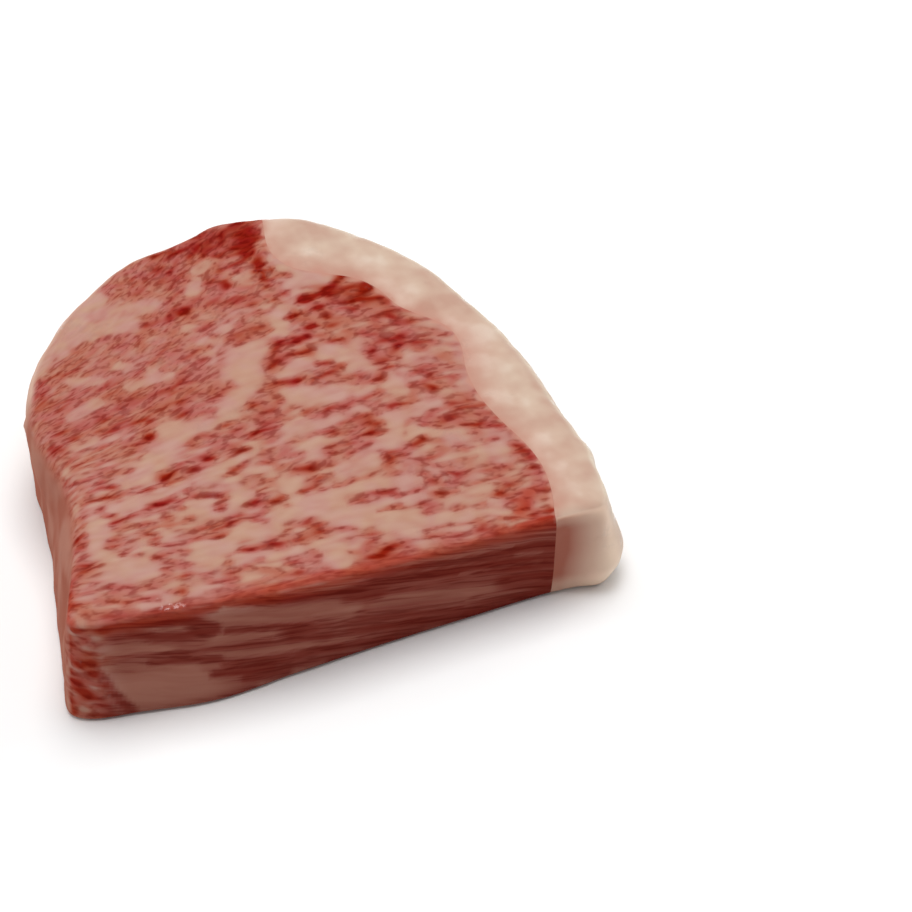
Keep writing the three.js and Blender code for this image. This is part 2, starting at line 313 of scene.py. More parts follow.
red_marks = [
    (0.88, 7, [(1, 48), (11, 47)]),
    (0.93, 3.6, [(10, 51), (9.6, 46)]),
    (0.93, 3, [(5, 44), (9, 43)]),
    (0.84, 5, [(-9, 46), (3, 45)]),
    (0.62, 6, [(-19.6, 37), (-12, 42)]),
    (0.72, 2.6, [(-16, 37.4), (-11, 42)]),
    (0.8, 3.4, [(-10, 41), (-7, 38)]),
    (0.94, 3.4, [(8.7, 40.4), (10, 36), (9.5, 32.5)]),
    (0.7, 2, [(11, 33.4), (14, 32.6)]),
    (0.7, 3, [(1, 38.4), (5, 37.4)]),
    (0.84, 3, [(-0.6, 34.8), (1.8, 32.6)]),
    (0.7, 2.4, [(-10, 35), (-9.6, 31.6)]),
    (1.0, 2.8, [(-10.2, 27.8), (-9, 27.2)]),
    (0.8, 2.2, [(-17.5, 25.4), (-12.5, 26.4)]),
    (0.74, 2.4, [(-4, 28.4), (1, 28)]),
    (0.74, 2.4, [(3, 28.2), (4, 26.6)]),
    (0.7, 3, [(6.4, 28.6), (11, 27)]),
    (0.7, 2, [(9.4, 26), (11.4, 25.4)]),
    (0.66, 3, [(-27, 23.2), (-21.5, 21.8)]),
    (0.66, 2, [(-33, 21.5), (-30, 22.5)]),
    (0.66, 1.8, [(-36, 17.5), (-33, 19)]),
    (0.72, 1.8, [(-39.5, 15), (-34.5, 16.4)]),
    (0.86, 2.4, [(-41.8, 15), (-42.6, 12.4), (-43.6, 9)]),
    (0.76, 2, [(-41.6, 6.8), (-36.6, 8.4)]),
    (0.72, 1.8, [(-36, 10.2), (-32, 9.6)]),
    (0.72, 1.8, [(-29.6, 10.6), (-27, 11.8)]),
    (0.72, 1.8, [(-24.2, 12.2), (-22.6, 13)]),
    (0.66, 1.6, [(-20, 14.6), (-14.5, 18.2)]),
    (0.68, 1.8, [(-13.4, 14), (-8, 15.6)]),
    (0.7, 2, [(-12, 11.4), (-10, 12)]),
    (0.66, 2, [(-8, 20.6), (-5.4, 22)]),
    (0.66, 2, [(1.6, 21), (4.4, 23.4)]),
    (0.88, 3.2, [(-2, 16), (2.2, 17.4)]),
    (0.78, 2, [(0.6, 19.8), (2.6, 18.4), (5, 17.8)]),
    (0.98, 3.2, [(2.2, 7.2), (4, 8.8), (6, 11)]),
    (0.96, 2.6, [(5, 12.8), (8.6, 13.2)]),
    (0.86, 2.4, [(7, 9.4), (10.6, 8.8)]),
    (0.88, 2.2, [(11.6, 13.2), (14.4, 17.4)]),
    (0.84, 2.4, [(10.6, 19.4), (12.8, 20.6)]),
    (0.76, 1.8, [(14.4, 14), (16, 14.4)]),
    (0.9, 3, [(16.8, 21), (17.8, 17.4)]),
    (0.9, 2.8, [(15.2, 24), (20.2, 25.4), (23, 26.8)]),
    (0.88, 4, [(25, 28), (28.6, 26.2), (29.6, 22.4), (29.6, 19.8)]),
    (0.92, 2.8, [(25.2, 24.4), (26.6, 23.8)]),
    (0.88, 2.4, [(20.4, 21.8), (27.8, 20.8)]),
    (0.86, 2, [(23.6, 19.2), (27.8, 19)]),
    (0.84, 2.8, [(29.6, 16.4), (30, 13.4)]),
    (0.74, 2, [(24.4, 16.4), (27.4, 15.4)]),
    (0.8, 2.2, [(20.2, 13.4), (22.8, 12.6)]),
    (0.7, 1.8, [(16.2, 11.2), (17.8, 12)]),
    (0.74, 2.4, [(31, 10.6), (33.6, 13)]),
    (0.8, 4.4, [(24.6, 8.4), (23.8, 5.6), (24, 2.8)]),
    (0.86, 2.8, [(27.8, 6.4), (30.6, 8), (32.8, 6)]),
    (0.76, 2, [(31.4, 4.2), (32.8, 3.4)]),
    (0.62, 2.2, [(37.2, 7), (37.8, 6)]),
    (0.6, 2.2, [(37.4, 3.4), (38.4, 2.4)]),
    (0.86, 2.2, [(-1.8, 0.4), (2, 1.8), (9.8, 1.8)]),
    (0.72, 1.6, [(9.8, 1.8), (15.2, 3.6)]),
    (0.74, 2, [(11.6, 5), (13.4, 4.8)]),
    (0.96, 2.8, [(17, -0.8), (21.4, -1.8)]),
    (0.7, 2, [(13.6, -1.4), (16, -1.6)]),
    (0.82, 2.4, [(-4.6, -3.4), (0, -2.8)]),
    (0.76, 2.4, [(-19, -2), (-13.2, -3)]),
    (0.78, 2.4, [(-12, 1), (-7.4, 3.2)]),
    (0.8, 2.4, [(-22.4, 5), (-15.4, 7.2)]),
    (0.76, 2, [(-18, 2), (-14, 3.6)]),
    (0.8, 1.8, [(-33.8, 1.6), (-28.6, 4.2)]),
    (0.76, 1.8, [(-28, 5.2), (-24.4, 5.6)]),
    (0.88, 2.2, [(-34.4, -1.8), (-29, -0.8), (-25.4, -1)]),
    (0.8, 2.6, [(-42, -0.6), (-39.6, -1.4)]),
    (0.86, 2.8, [(-45.4, -3.6), (-43.6, -4)]),
    (0.9, 3, [(-29, -7.6), (-26.6, -6.4)]),
    (0.64, 0.9, [(-41, -5.8), (-32, -5.2)]),
    (0.66, 0.9, [(-42, -7.4), (-31, -7)]),
    (0.64, 0.9, [(-41, -8.8), (-32, -8.4)]),
    (0.68, 1.4, [(-34.6, -9.8), (-30, -10.6)]),
    (0.66, 2, [(-43.6, -8), (-41.6, -9)]),
    (0.62, 1.4, [(-37.6, -13.2), (-32.4, -13.4)]),
    (0.74, 1.8, [(-45, -13), (-41, -14.4)]),
    (0.78, 1.8, [(-38.8, -15.6), (-35.8, -18.2)]),
    (0.86, 1.8, [(-39, -19.4), (-36.8, -19.8)]),
    (0.68, 1.6, [(-45, -17), (-41, -19)]),
    (0.72, 1.8, [(-34, -19), (-30.2, -19.6)]),
    (0.66, 2, [(-47, -22.6), (-44.8, -23.6)]),
    (0.66, 1.8, [(-40.4, -22.6), (-39, -24.6)]),
    (0.78, 3, [(-46.8, -25.6), (-47.4, -30)]),
    (0.98, 3.4, [(-26.6, -17.6), (-22.6, -16.2)]),
    (0.84, 2.4, [(-23, -16.2), (-19, -15.2), (-13.6, -13.8), (-10.4, -13.8)]),
    (0.7, 1.6, [(-19.6, -10.6), (-16.8, -8.8), (-12.8, -7.8)]),
    (0.7, 1.6, [(-12.8, -7.8), (-10.2, -6.6), (-6.8, -6.2), (-1, -5.2)]),
    (0.66, 2.4, [(-15, -11.4), (-8, -9.2)]),
    (0.9, 3.2, [(-2.8, -7.4), (-4.6, -8.8), (-6.4, -11.4)]),
    (0.74, 2.2, [(4.4, -8), (7.8, -8.4), (11.4, -8), (13.6, -7)]),
    (0.78, 1.9, [(16.6, -7.2), (20, -5.4)]),
    (0.7, 1.6, [(21.6, -8.4), (22.8, -8.8)]),
    (0.8, 2.2, [(20.6, -11.2), (25, -10.4)]),
    (0.94, 3.4, [(30.8, -5.2), (30, -8.8)]),
    (0.66, 2, [(28.4, -2.6), (31, -1.2)]),
    (0.66, 2, [(33, -3.6), (36, -2)]),
    (0.7, 2.2, [(1, -13.6), (4.4, -13.4), (7.2, -14)]),
    (0.72, 6.4, [(9, -17.6), (14.4, -14.6)]),
    (0.88, 2.6, [(6.4, -19.4), (10, -18.6), (12.6, -16.6)]),
    (0.86, 1.8, [(10.2, -12.8), (14.8, -13.2), (17, -16)]),
    (0.8, 1.6, [(13.6, -16), (12.6, -19)]),
    (0.76, 1.8, [(24.8, -16.8), (28.8, -14.6)]),
    (0.84, 2.6, [(32, -13.2), (35.6, -13.6)]),
    (0.86, 4.2, [(33.4, -15.8), (38, -18)]),
    (0.74, 3.6, [(29.2, -18), (35.2, -20)]),
    (0.8, 1.6, [(36, -21), (38.4, -21.4)]),
    (0.8, 2.2, [(20.6, -22.6), (22.8, -21.6)]),
    (0.74, 2.4, [(14.8, -23.2), (18, -24)]),
    (0.76, 3, [(-4.4, -21.6), (-1, -22.6), (3.4, -22)]),
    (0.7, 1.4, [(-1, -24.6), (3, -25)]),
    (0.66, 2, [(-7.4, -17.6), (-5, -18.8)]),
    (0.7, 1.6, [(-5.4, -17), (-2.6, -16.8)]),
    (0.72, 1.4, [(-1.2, -17.8), (0, -17.6)]),
    (0.72, 1.8, [(-14, -18.8), (-11.8, -18)]),
    (0.74, 2.4, [(-12.6, -22.6), (-9.6, -22.8)]),
    (0.74, 2.2, [(-3, -27.6), (-0.6, -27)]),
    (0.66, 1.4, [(3.4, -28), (6.4, -27.4)]),
    (0.7, 1.8, [(9.6, -28), (15.2, -25.8)]),
    (0.68, 1.1, [(17, -27.6), (21.4, -27.6)]),
    (0.7, 1.3, [(22.8, -26.2), (27.8, -25.6), (31.4, -26.2)]),
    (0.7, 1.3, [(34.4, -25), (36.4, -25.4)]),
    (0.7, 1.4, [(17.8, -29.4), (19.8, -29.8)]),
    (0.66, 1.3, [(26.4, -28.8), (31, -28.6)]),
    (0.74, 1.8, [(4.4, -33), (8.8, -32.8)]),
    (0.84, 2.2, [(10.4, -33), (12.8, -33.2)]),
    (0.66, 1, [(12.8, -34.8), (17, -34.2)]),
    (0.82, 1.9, [(20.6, -32.8), (22.4, -34.2)]),
    (0.76, 1.4, [(20.2, -36), (24, -35.8)]),
    (0.68, 2.4, [(26, -32.2), (28.8, -31.8)]),
    (0.72, 2.2, [(32.2, -33), (35, -33.6)]),
    (0.62, 0.9, [(26.6, -35.6), (32.6, -35.2)]),
    (0.66, 1, [(8.6, -37), (13, -36.8)]),
    (0.68, 1.4, [(16.8, -37.8), (19.8, -39)]),
    (0.86, 2.4, [(31.8, -39.2), (34.2, -38.8)]),
    (0.8, 3, [(39.4, -27), (40.2, -33), (40.2, -38), (39.6, -44), (38, -48.6)]),
    (0.7, 1.5, [(0.6, -39.8), (2.4, -40.2)]),
    (0.64, 0.9, [(22, -41), (28, -40.8)]),
    (0.76, 2.6, [(5.2, -42.2), (4.8, -45)]),
    (0.92, 4, [(2.6, -48.4), (8.4, -47)]),
    (0.8, 1.8, [(8.4, -46.6), (11.6, -47.8)]),
    (0.78, 1.6, [(15.2, -44.8), (19.6, -44.4)]),
    (0.7, 0.8, [(15.4, -45.4), (21, -47.2), (25.4, -48.6)]),
    (0.9, 3.2, [(25.6, -47), (28.4, -48.4)]),
    (0.84, 3.6, [(34, -41.6), (36, -47)]),
    (0.96, 2.6, [(32, -49.6), (38, -49.2)]),
    (0.78, 1.8, [(-39, -26.8), (-35.8, -25.6)]),
    (0.7, 1.6, [(-35, -28.8), (-32.8, -29)]),
    (0.8, 1.8, [(-32, -24.4), (-29, -23.8), (-26.4, -23.2)]),
    (0.88, 1.8, [(-29.6, -26.4), (-29.4, -28.4)]),
    (0.66, 1.4, [(-27.6, -26), (-26.2, -26.6)]),
    (0.86, 1.9, [(-23.8, -22.6), (-19.6, -23.8), (-17.8, -25.8), (-19.6, -27.6)]),
    (0.8, 3, [(-41, -31.8), (-38.8, -32.2)]),
    (0.8, 1.7, [(-34, -31), (-33, -32), (-33.8, -33.4)]),
    (0.62, 1.6, [(-40, -35), (-37, -36)]),
    (0.74, 1.5, [(-35, -37.2), (-32.4, -37.8)]),
    (0.68, 1.8, [(-28.4, -33.6), (-26.2, -33.8)]),
    (0.66, 1.6, [(-30.4, -35.8), (-28.4, -36.4)]),
    (0.84, 3.4, [(-23.4, -32), (-22.2, -32.8)]),
    (0.84, 2.2, [(-19.2, -32.6), (-16.4, -30.6)]),
    (0.72, 1.1, [(-19.6, -33.6), (-22, -34.8), (-25.4, -34.4)]),
    (0.8, 1.9, [(-14, -28.6), (-12, -27.6), (-9.8, -28), (-7.4, -29.8)]),
    (0.76, 1.9, [(-14, -31.8), (-12.8, -32.4)]),
    (0.84, 2.3, [(-18.4, -38.8), (-14, -39.4), (-10.4, -40)]),
    (0.78, 1.7, [(-9, -35.4), (-5, -36.2)]),
    (0.96, 2.6, [(-3.6, -37), (-3.4, -39)]),
    (0.78, 1.6, [(-9.4, -39.4), (-5, -39.6)]),
    (0.84, 2.4, [(-33.4, -40.4), (-30.8, -41.4)]),
    (0.7, 1.4, [(-31, -43), (-29, -44.6), (-26.6, -45.4)]),
    (0.84, 2.2, [(-22.8, -43), (-22.2, -45.2)]),
    (0.66, 1.1, [(-19.4, -43.2), (-16, -42.6)]),
    (0.82, 2.1, [(-11.8, -45.4), (-7.2, -44.6)]),
    (0.78, 1.8, [(-14.4, -47), (-11.4, -47.8)]),
    (0.76, 1.6, [(-44, -42.2), (-41, -42.8), (-36.4, -44.4)]),
    (0.8, 1.5, [(-50, -46.4), (-44.6, -49.6)]),
    (0.68, 1.3, [(-47.4, -45.2), (-43, -45.8)]),
    (0.7, 1.4, [(-40, -46.4), (-37, -47.2)]),
    (0.68, 1.4, [(-35, -45.6), (-32.2, -46.4)]),
    (0.84, 4, [(-51.4, -37.8), (-46.6, -36)]),
    (0.8, 2.4, [(-52.2, -43.2), (-51.4, -40.4)]),
    (0.74, 2, [(-49.4, -23), (-51.4, -32.4), (-53, -41), (-55, -51)]),
]

# Where it lies on the knife cut, seen from the front: mm to the right and mm up.
cut_bands = [
    (0.72, 34, [(-56, 10), (60, 10)]),
    (0.1, 13, [(-46, 6), (-32, 6)]),
    (0.25, 4, [(-51, 20), (-47, 17), (-38, 14.6)]),
    (0.3, 2.6, [(-40, 19.6), (-33, 18.6)]),
    (0.2, 4.4, [(-28, 19.6), (-20, 17.6), (-10, 15.6), (-2, 12.6)]),
    (0.26, 3, [(-28, 14.6), (-18, 12.8)]),
    (0.38, 4, [(3, 11.6), (14, 9.2), (26, 6.2), (34, 4.4)]),
    (0.4, 2.4, [(-30, 9.4), (-16, 7.6), (-2, 4.4)]),
    (0.36, 2, [(-20, 1.6), (-8, 0.6)]),
    (0.5, 2.4, [(8, 18), (24, 15)]),
]
cut_streaks = [
    (0.72, 6, [(-56, 18), (-53, 8), (-49, 0)]),
    (0.84, 1.8, [(-52, 15.6), (-49.4, 11), (-48, 7.4), (-44.4, 1)]),
    (0.78, 1.2, [(-48, 15), (-38, 13.4), (-30, 12.4), (-18, 11)]),
    (0.78, 1.6, [(-40, 12.4), (-34, 11.6), (-28, 10)]),
    (0.92, 2.2, [(-50, 23.4), (-43, 21.6), (-34, 20.4), (-28.4, 17.2)]),
    (0.92, 2, [(-43, 20.6), (-39, 17.8), (-34, 16.8), (-28.6, 17)]),
    (0.86, 2, [(-36, 22.6), (-28, 22)]),
    (0.92, 2, [(-25, 22.6), (-17, 20), (-8, 18.4), (4, 17), (18, 14.8), (34, 10.6)]),
    (0.46, 0.9, [(4, 20.8), (18, 18.6), (30, 16.6)]),
    (0.5, 0.8, [(12, 17.6), (26, 15.2), (36, 12.8)]),
    (0.52, 0.8, [(20, 13.4), (36, 10.4)]),
    (0.96, 0.9, [(10, 18.6), (24, 16.4), (38, 14.6)]),
    (0.92, 4, [(-2, 16.8), (3, 15.2)]),
    (0.8, 1.2, [(2, 19.4), (16, 17.6), (30, 14.6)]),
    (0.8, 1.1, [(6, 14.8), (20, 12), (36, 8)]),
    (0.84, 1.2, [(-26, 16), (-16, 14), (-10, 11.6)]),
    (0.92, 3.4, [(-13, 11), (-7, 8.8)]),
    (0.88, 1.5, [(-8, 9.6), (6, 7.4), (20, 3.8)]),
    (0.84, 1.2, [(-27, 8.4), (-14, 6.2), (-4, 3)]),
    (0.86, 1.6, [(-29, 6.8), (-18, 4.4)]),
    (0.86, 1.8, [(-23, 3.6), (-15, 1.6)]),
    (0.86, 1.8, [(-12, 5.4), (2, 2.6), (12, 0.8)]),
    (0.84, 1.6, [(-2, 7), (10, 4), (22, 1)]),
    (0.88, 2, [(34, 15), (40, 13.6)]),
    (0.88, 5, [(30, 8), (40, 4)]),
    (0.88, 3, [(22, 2), (38, 1)]),
]

fat_surface = surface_of("fat_cap")
lean_growth = 0.5
lean = copied_solid("marbled_lean", fat_surface, lean_growth)
lean.name = "striploin_lean"
places, facing = corners_of(lean)
x, y, z = (places / mm).T
_, facing_back, facing_up = facing.T
from_fat = distance_to(fat_surface, lean)

# The slab is thickest along its left edge and thins evenly towards the fat.
thick_edge = 23.8
thin_edge = 19.7
left_edge = -54.9
cut_width = 105
below_top = thick_edge - (thick_edge - thin_edge) * (x - left_edge) / cut_width - z

# Fibres lie along the knife cut in front, turn towards the crown behind, and rise to the left.
fibre_slope = 0.23
turning = np.clip((y + 45) / 75, 0, 1.25) ** 1.5
heading = 0.55 * turning
along = x * np.cos(heading) + y * np.sin(heading)
sideways = y - (0.6 * x - 0.0088 * x * x) * turning
risen = z + fibre_slope * x
keep(lean, "grain", np.stack([along, sideways, risen], 1))

# Strands of film lie around the crown's wall.
crown_radius = 50
crown_middle = -4
around = crown_radius * np.arctan2(x, y - crown_middle)
outward = np.hypot(x, y - crown_middle)
keep(lean, "film_grain", np.stack([around, z, outward], 1))

# Which face each vertex is on.
on_top = ease(-below_top, -1.6, -0.5) * ease(facing_up, 0.1, 0.6)
on_cut = (1 - on_top) * ease(-facing_back, 0.35, 0.65) * ease(-y, 42, 46)
underneath = ease(-facing_up, 0.8, 0.98)
left_end = ease(-x, 46, 51) * ease(z, 0.5, 3)

# The share of lean at each vertex. The upper face's pattern runs through to the underside, is
# stronger towards the crown and a little fatter in front.
middling = 0.45
upper = np.full(len(x), 0.43)
paint(upper, x, y, broad_zones, 0.6)
paint(upper, x, y, veins)
paint(upper, x, y, red_marks, 1.0)
strength = 0.86 + 0.24 * ease(y, 5, 45)
upper = middling + (upper - middling) * strength - 0.035 * ease(-y, -4, 12)
cut = np.full(len(x), 0.7)
paint(cut, x, z, cut_bands, 0.85)
paint(cut, x, z, cut_streaks, 0.6)
wall = 0.3 + 0.26 * ease(-y, -18, 8) - 0.1 * ease(-y, 30, 46)
share = wall + np.maximum(on_top, underneath) * (upper - wall) + on_cut * (cut - wall)
# Half way along the seam the lean is paler for a few millimetres.
paler = 0.45 * ease(y, -16, -2) * ease(-y, -14, 2)
share *= 1 - (1 - on_cut) * paler * ease(from_fat / 3.8, 1, -0.3)
keep(lean, "lean_share", share)
keep(lean, "from_fat", np.clip(from_fat, 0, 6))

# The knife cut shows long streaks, and below its rim it lies in painted shade, darker than the lamps alone
# leave it.
rim_of_cut = 0.7 * ease(-y, 46.5, 50) * on_top
keep(lean, "knife_cut", np.maximum(on_cut * (1 - 0.85 * ease(-x, 46, 51)), rim_of_cut))
keep(lean, "in_shade", on_cut * ease(below_top, 0.4, 4.4) * ease(x, -52.5, -44))

# Film covers the outer wall, thickly round the crown and thinly along the left side.
skin = (1 - ease(facing_up, 0.3, 0.9)) * (1 - on_cut) * ease(facing_up, -0.75, -0.4)
skin *= ease(y, -50, -44) * ease(from_fat, 0.5, 1.3)
keep(lean, "skin", skin)
keep(lean, "film_cover", skin * (0.25 + 0.5 * ease(y, 0, 22)))
keep(lean, "dull", skin * (0.9 - 0.45 * ease(y, 8, 20)))
film_edge = ease(facing_up, -0.2, 0.3) * ease(-facing_up, -0.93, -0.7) * ease(y, 6, 15)
keep(lean, "film_edge", film_edge * ease(-x, -2, 12))

# Bright fresh red, where the knife opened the muscle last.
edge = np.zeros(len(x))
paint(edge, x, y, [
    (0.8, 3, [(-49.4, -23), (-51.4, -32.4), (-53, -41), (-55, -51)]),
    (0.8, 3, [(-47, -51.3), (-30, -51), (-10, -51), (14, -50.8), (36, -50.4)]),
    (0.8, 2.4, [(31, -48.6), (38, -49.4)]),
    (0.7, 2.4, [(30, -49), (38, -40)]),
], 0.8)
fresh_edge = edge * ease(-below_top, -3.5, -1) * (1 - skin)
keep(lean, "bright_edge", fresh_edge + 0.4 * on_cut * left_end)

# Flecks stand out least in clean fat, under film and on the crown, and most at the left end.
calm = 0.44 * ease(y, -16, 4) * ease(-x, -12, 4)
calm = np.maximum(calm, 0.65 * ease(y, 41, 46) * ease(x, -6, 2)) - 0.9 * on_cut * left_end
in_muscle = 0.45 + 0.55 * ease(share, 0.08, 0.4)
keep(lean, "unevenness", in_muscle * (1 - 0.9 * skin) * (1 - calm))

# Muscle sinks a little between the fat, bundles leave low ridges, and the film is lumpy, with
# three small tags of it on the left wall.
bundle_length = 9
bundle_width = 1.6
ridges = soft_noise(along / bundle_length, sideways / bundle_width, risen / bundle_width)
raised = 0.12 * ridges * (1 - skin) - 0.2 * (share - 0.4) * (1 - skin)
raised += 0.3 * soft_noise(x, y, z, 5) * skin
tags = [((-47, 9, 19), 1, 0.4), ((-49.4, -5.4, 17.5), 1, 0.4), ((-56, -41.5, 12), 1.2, 0.5)]
for middle, size, height in tags:
    apart = np.linalg.norm(np.stack([x, y, z], 1) - np.array(middle), axis=1)
    raised += height * np.exp(-(apart / size) ** 2)
raised *= ease(from_fat, 0.2, 1.6) * ease(z, 0.1, 1.2)
raise_surface(lean, places, facing, raised)


def paint_colour(red, green, blue):
    """A colour as it looks on screen, from 0 to 255, for a socket."""
    def linear(part):
        part /= 255
        return part / 12.92 if part <= 0.04045 else ((part + 0.055) / 1.055) ** 2.4
    return (linear(red), linear(green), linear(blue), 1)


def add(tree, kind, name="", **values):
    """A node of a kind, with its sockets set or joined by name; a digit picks a socket by place."""
    node = tree.nodes.new(kind)
    node.label = name
    for key, value in values.items():
        if hasattr(node, key):
            setattr(node, key, value)
            continue
        socket = node.inputs[int(key[1:])] if key[1:].isdigit() else node.inputs[key.replace("_", " ")]
        if isinstance(value, bpy.types.NodeSocket):
            tree.links.new(value, socket)
        else:
            socket.default_value = value
    return node


def stored(tree, name, output="Fac"):
    """What keep stored under a name, as a socket."""
    return add(tree, "ShaderNodeAttribute", name, attribute_name=name).outputs[output]


def calculate(tree, operation, first, second=0.0, third=0.0, clamp=False):
    """The sum, product or the like of up to three values."""
    node = add(tree, "ShaderNodeMath", operation=operation, use_clamp=clamp, i0=first, i1=second, i2=third)
    return node.outputs[0]


def spots(tree, name, place, scale, detail, roughness=0.5):
    """Soft noise over a place, from 0 to 1."""
    return add(
        tree, "ShaderNodeTexNoise", name, Vector=place, Scale=scale, Detail=detail, Roughness=roughness,
    ).outputs["Fac"]


def fade(tree, name, value, low, high, first=0.0, last=1.0):
    """Goes softly from a first value to a last one while another goes from low to high."""
    return add(
        tree, "ShaderNodeMapRange", name, interpolation_type="SMOOTHSTEP",
        Value=value, i1=low, i2=high, i3=first, i4=last,
    ).outputs[0]


def blend(tree, name, share, under, over, way="MIX"):
    """A share of one colour over another."""
    return add(
        tree, "ShaderNodeMix", name, data_type="RGBA", blend_type=way, i0=share, i6=under, i7=over,
    ).outputs[2]


def ramp(tree, fac, stops):
    """A colour ramp through (place, colour) stops."""
    node = tree.nodes.new("ShaderNodeValToRGB")
    while len(node.color_ramp.elements) < len(stops):
        node.color_ramp.elements.new(0.5)
    for element, (place, colour) in zip(node.color_ramp.elements, stops):
        element.position = place
        element.color = colour
    tree.links.new(fac, node.inputs["Fac"])
    return node.outputs["Color"]


def group(name, inputs, outputs):
    """An empty shader node group with named sockets, and its input and output nodes."""
    tree = bpy.data.node_groups.new(name, "ShaderNodeTree")
    for socket, kind, value in inputs:
        made = tree.interface.new_socket(socket, in_out="INPUT", socket_type="NodeSocket" + kind)
        if value is not None:
            made.default_value = value
    for socket in outputs:
        tree.interface.new_socket(socket, in_out="OUTPUT", socket_type="NodeSocketFloat")
    return tree, tree.nodes.new("NodeGroupInput"), tree.nodes.new("NodeGroupOutput")


# Streaks: noise drawn out along the fibres, in mm, that wanders a little.
streaks, told, given = group(
    "streaks",
    [("Grain", "Vector", None), ("Length", "Float", 12.0), ("Width", "Float", 1.2),
     ("Wander", "Float", 1.0), ("Detail", "Float", 2.0)],
    ["Value", "Dashes"],
)
most_wander = 5.0
roam = add(
    streaks, "ShaderNodeTexNoise", "where streaks wander",
    Vector=add(
        streaks, "ShaderNodeVectorMath", operation="MULTIPLY", i0=told.outputs["Grain"],
        i1=(0.11, 0.24, 0.24),
    ).outputs[0],
    Scale=1.0, Detail=1.0,
)
centred = add(
    streaks, "ShaderNodeVectorMath", operation="SUBTRACT", i0=roam.outputs["Color"],
    i1=(0.5, 0.5, 0.5),
)
shift = add(
    streaks, "ShaderNodeVectorMath", operation="SCALE", i0=centred.outputs[0],
    Scale=calculate(streaks, "MULTIPLY", told.outputs["Wander"], most_wander),
)
wandered = add(
    streaks, "ShaderNodeVectorMath", operation="ADD", i0=told.outputs["Grain"],
    i1=shift.outputs[0],
)
stretch = add(
    streaks, "ShaderNodeCombineXYZ", X=told.outputs["Length"], Y=told.outputs["Width"],
    Z=told.outputs["Width"],
)
drawn = add(
    streaks, "ShaderNodeVectorMath", operation="DIVIDE", i0=wandered.outputs[0],
    i1=stretch.outputs[0],
)
fleck = spots(streaks, "flecks", drawn.outputs[0], 1.0, told.outputs["Detail"], 0.55)
streaks.links.new(fleck, given.inputs["Value"])
streaks.links.new(fade(streaks, "dashes", fleck, 0.44, 0.66), given.inputs["Dashes"])

# Wet sheen: small dips and damp patches, for roughness and height, and the wettest spots,
# beaded with juice, for a coat.
wet_sheen, told, given = group(
    "wet sheen",
    [("Dryness", "Float", 0.45), ("Patch Size", "Float", 9.0)],
    ["Roughness", "Height", "Beads"],
)
bead_height = 0.8
place = add(wet_sheen, "ShaderNodeTexCoord").outputs["Object"]
metres_to_patches = calculate(wet_sheen, "DIVIDE", 1 / mm, told.outputs["Patch Size"])
patches = spots(wet_sheen, "damp patches", place, metres_to_patches, 3.0, 0.6)
dips = spots(wet_sheen, "dips", place, 260.0, 3.0)
spread = calculate(wet_sheen, "MULTIPLY_ADD", patches, 0.4, -0.2)
wet_sheen.links.new(
    calculate(wet_sheen, "ADD", spread, told.outputs["Dryness"], clamp=True),
    given.inputs["Roughness"],
)
wettest = fade(wet_sheen, "wettest spots", patches, 0.58, 0.68)
beading = spots(wet_sheen, "beads", place, 1100.0, 1.0)
broken = fade(wet_sheen, "broken into beads", beading, 0.42, 0.6)
wet_sheen.links.new(calculate(wet_sheen, "MULTIPLY", wettest, broken), given.inputs["Beads"])
beads = calculate(wet_sheen, "MULTIPLY", wettest, beading)
wet_sheen.links.new(
    calculate(wet_sheen, "MULTIPLY_ADD", beads, bead_height, dips), given.inputs["Height"],
)


def use(tree, made, **values):
    """A node group placed in a material, with its sockets set or joined."""
    node = tree.nodes.new("ShaderNodeGroup")
    node.node_tree = made
    for key, value in values.items():
        socket = node.inputs[key.replace("_", " ")]
        if isinstance(value, bpy.types.NodeSocket):
            tree.links.new(value, socket)
        else:
            socket.default_value = value
    return node


def mixed_values(tree, fac, first, second):
    """One value going over to another."""
    return add(tree, "ShaderNodeMix", i0=fac, i2=first, i3=second).outputs[0]


marbled = bpy.data.materials.new("marbled_lean")
marbled.use_nodes = True
tree = marbled.node_tree
shader = tree.nodes["Principled BSDF"]
grain = stored(tree, "grain", "Vector")
film_grain = stored(tree, "film_grain", "Vector")
lean_share = stored(tree, "lean_share")
knife_cut = stored(tree, "knife_cut")
in_shade = stored(tree, "in_shade")
uneven = stored(tree, "unevenness")
film_cover = stored(tree, "film_cover")

# Flecks and short fibres on the upper face, long ones on the knife cut.
flecks = use(tree, streaks, Grain=grain, Length=3.8, Width=1.75, Wander=0.4, Detail=0.0)
fibres = use(tree, streaks, Grain=grain, Length=2.2, Width=1.0, Wander=0.5, Detail=0.9)
long_streaks = use(tree, streaks, Grain=grain, Length=44.0, Width=1.7, Wander=0.25, Detail=1.5)
long_fibres = use(tree, streaks, Grain=grain, Length=24.0, Width=0.55, Wander=0.2, Detail=1.0)
dashes = mixed_values(tree, knife_cut, fibres.outputs["Dashes"], long_fibres.outputs["Dashes"])
bundles = mixed_values(tree, knife_cut, flecks.outputs["Value"], long_streaks.outputs["Value"])
coarse = calculate(tree, "SUBTRACT", bundles, 0.5)
body = calculate(tree, "MULTIPLY_ADD", coarse, uneven, lean_share)

